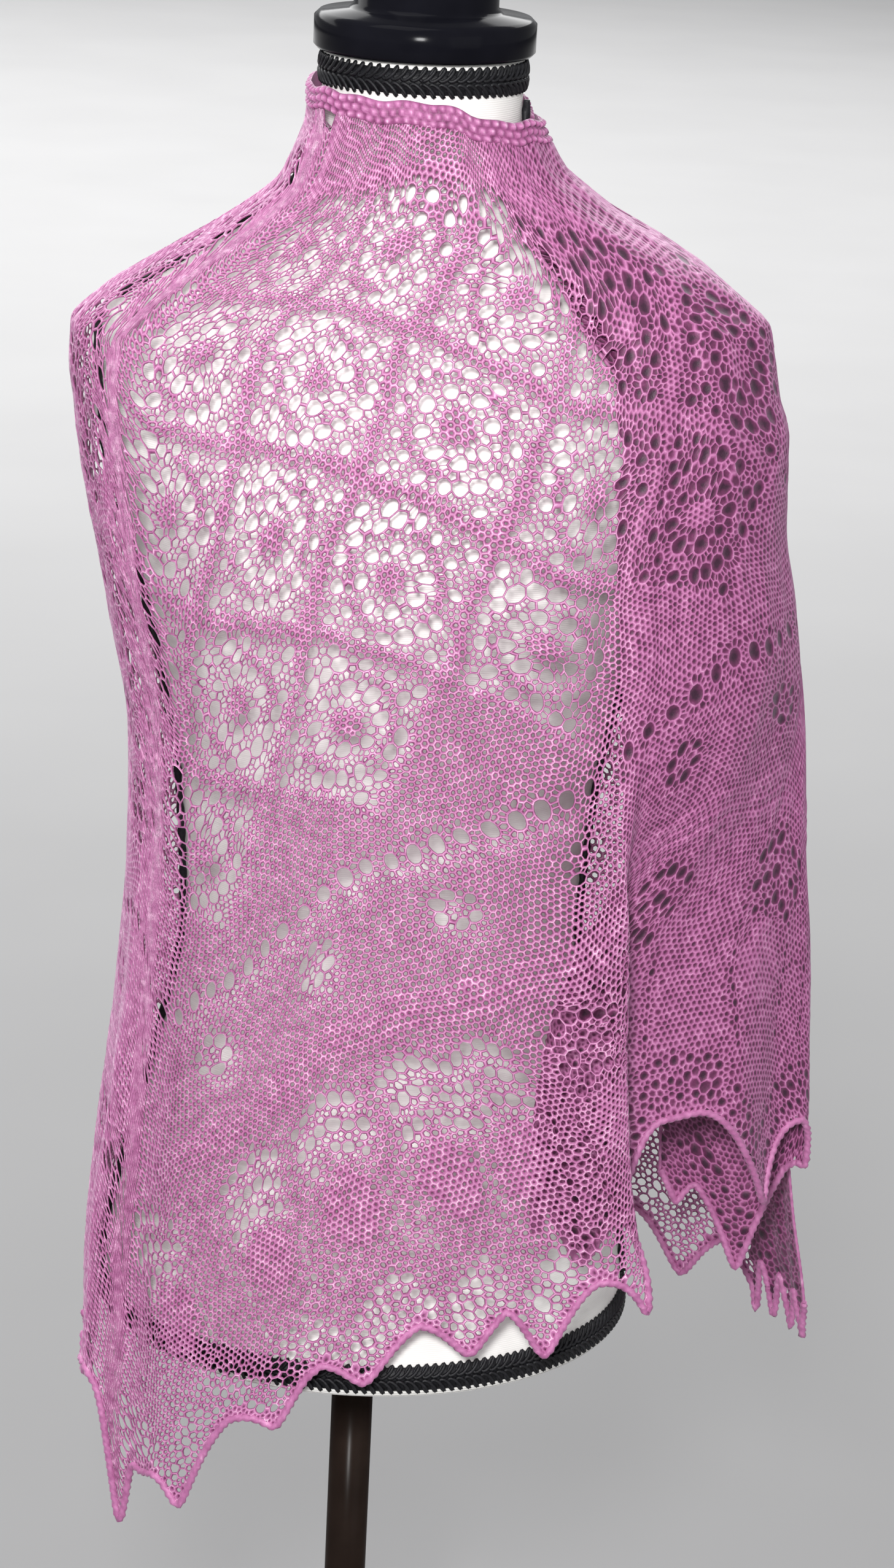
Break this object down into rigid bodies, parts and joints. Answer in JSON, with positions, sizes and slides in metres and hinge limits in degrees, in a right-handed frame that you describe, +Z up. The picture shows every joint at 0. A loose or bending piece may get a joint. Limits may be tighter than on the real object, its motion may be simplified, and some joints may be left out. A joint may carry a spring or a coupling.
{
  "type": "lace shawl on dress form",
  "caption": "Hand-knitted lace shawl wrapped round a limbless dress form on a pole stand with a round base.",
  "frame": {"origin": "middle of the base's flat underside, which rests on the floor", "axes": "+Z up the pole, the wearer's front faces -Y, the folded end of the shawl hangs at +X"},
  "size_m": [0.4762, 0.37, 1.325],
  "materials": {
    "yarn": "fine two-ply silk and wool yarn with a soft lustre, knitted in open lace",
    "jersey": "fine off-white jersey, matt",
    "cap_plastic": "glossy black moulding",
    "braid_black": "black gimp braid and twisted cord",
    "stand_enamel": "glossy black-brown enamel"
  },
  "bodies": {
    "root": {"shawl_front": "yarn", "shawl_left": "yarn", "shawl_back": "yarn", "shawl_under": "yarn", "shawl_cascade": "yarn", "shawl_free_end": "yarn", "neck_edge_front": "yarn", "neck_edge_back": "yarn", "torso": "jersey", "neck_cap": "cap_plastic", "neck_braid": "braid_black", "hem_braid": "braid_black", "cord_shoulder_right": "braid_black", "cord_shoulder_left": "braid_black", "cord_armhole_right": "braid_black", "cord_armhole_left": "braid_black", "cord_side_right": "braid_black", "cord_side_left": "braid_black", "pole": "stand_enamel", "collar": "stand_enamel", "base": "stand_enamel"}
  },
  "joints": []
}
